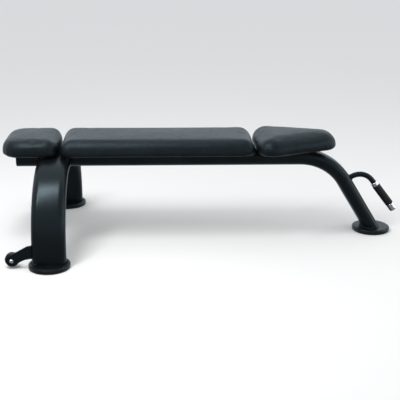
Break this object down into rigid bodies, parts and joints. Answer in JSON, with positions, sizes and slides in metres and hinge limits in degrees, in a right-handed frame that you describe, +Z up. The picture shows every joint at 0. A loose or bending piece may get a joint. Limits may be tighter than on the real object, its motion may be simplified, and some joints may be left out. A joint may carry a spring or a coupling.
{
  "type": "flat weight bench",
  "caption": "Low black exercise bench: padded head, back and tapered seat cushions on one bent tube, arched front legs with wheels, rear leg with lift handle.",
  "frame": {"origin": "on the floor, under the middle of the bench's overall length and width", "axes": "+X along the bench from the head end to the seat end, +Y to the left of a person sitting at the seat end and facing +X, +Z up"},
  "size_m": [1.6231, 0.916, 0.4339],
  "materials": {
    "frame_paint": "satin-gloss black powder coat",
    "pad_vinyl": "black grained vinyl with a soft sheen",
    "board_plywood": "bare plywood",
    "foot_rubber": "matte black",
    "grip_rubber": "matte black, ribbed",
    "tread_rubber": "matte black",
    "hub_plastic": "moulded black",
    "plug_plastic": "moulded black",
    "handle_chrome": "polished",
    "axle_chrome": "polished",
    "zinc_hardware": "zinc plated"
  },
  "bodies": {
    "frame": {"back_board": "board_plywood", "back_cushion": "pad_vinyl", "back_plate_head_end": "frame_paint", "back_plate_head_end_left_bolt": "zinc_hardware", "back_plate_head_end_left_tee_nut": "zinc_hardware", "back_plate_head_end_right_bolt": "zinc_hardware", "back_plate_head_end_right_tee_nut": "zinc_hardware", "back_plate_seat_end": "frame_paint", "back_plate_seat_end_left_bolt": "zinc_hardware", "back_plate_seat_end_left_tee_nut": "zinc_hardware", "back_plate_seat_end_right_bolt": "zinc_hardware", "back_plate_seat_end_right_tee_nut": "zinc_hardware", "beam_end_plug": "plug_plastic", "foot_cup_front_left": "foot_rubber", "foot_cup_front_right": "foot_rubber", "foot_cup_rear": "foot_rubber", "foot_plate_front_left": "frame_paint", "foot_plate_front_right": "frame_paint", "foot_plate_rear": "frame_paint", "handle_collar": "handle_chrome", "handle_end_cap": "handle_chrome", "handle_grip": "grip_rubber", "handle_tube": "frame_paint", "head_board": "board_plywood", "head_cushion": "pad_vinyl", "head_plate": "frame_paint", "head_plate_left_bolt": "zinc_hardware", "head_plate_left_tee_nut": "zinc_hardware", "head_plate_right_bolt": "zinc_hardware", "head_plate_right_tee_nut": "zinc_hardware", "leg_left": "frame_paint", "leg_right": "frame_paint", "main_beam": "frame_paint", "seat_board": "board_plywood", "seat_cushion": "pad_vinyl", "seat_plate": "frame_paint", "seat_plate_left_bolt": "zinc_hardware", "seat_plate_left_tee_nut": "zinc_hardware", "seat_plate_right_bolt": "zinc_hardware", "seat_plate_right_tee_nut": "zinc_hardware", "seat_shim": "frame_paint", "wheel_bracket_left": "frame_paint", "wheel_bracket_right": "frame_paint", "wheel_left_bolt": "axle_chrome", "wheel_left_nut": "zinc_hardware", "wheel_left_washer_inner": "zinc_hardware", "wheel_left_washer_outer": "zinc_hardware", "wheel_right_bolt": "axle_chrome", "wheel_right_nut": "zinc_hardware", "wheel_right_washer_inner": "zinc_hardware", "wheel_right_washer_outer": "zinc_hardware"},
    "wheel_left": {"wheel_left_hub": "hub_plastic", "wheel_left_tread": "tread_rubber"},
    "wheel_right": {"wheel_right_hub": "hub_plastic", "wheel_right_tread": "tread_rubber"}
  },
  "joints": [
    {"name": "wheel_left_spin", "type": "hinge", "parent": "frame", "child": "wheel_left", "pos_m": [-0.7455, 0.3729, 0.03], "axis": [0, 1, 0], "continuous": true},
    {"name": "wheel_right_spin", "type": "hinge", "parent": "frame", "child": "wheel_right", "pos_m": [-0.7455, -0.3729, 0.03], "axis": [0, 1, 0], "continuous": true}
  ]
}
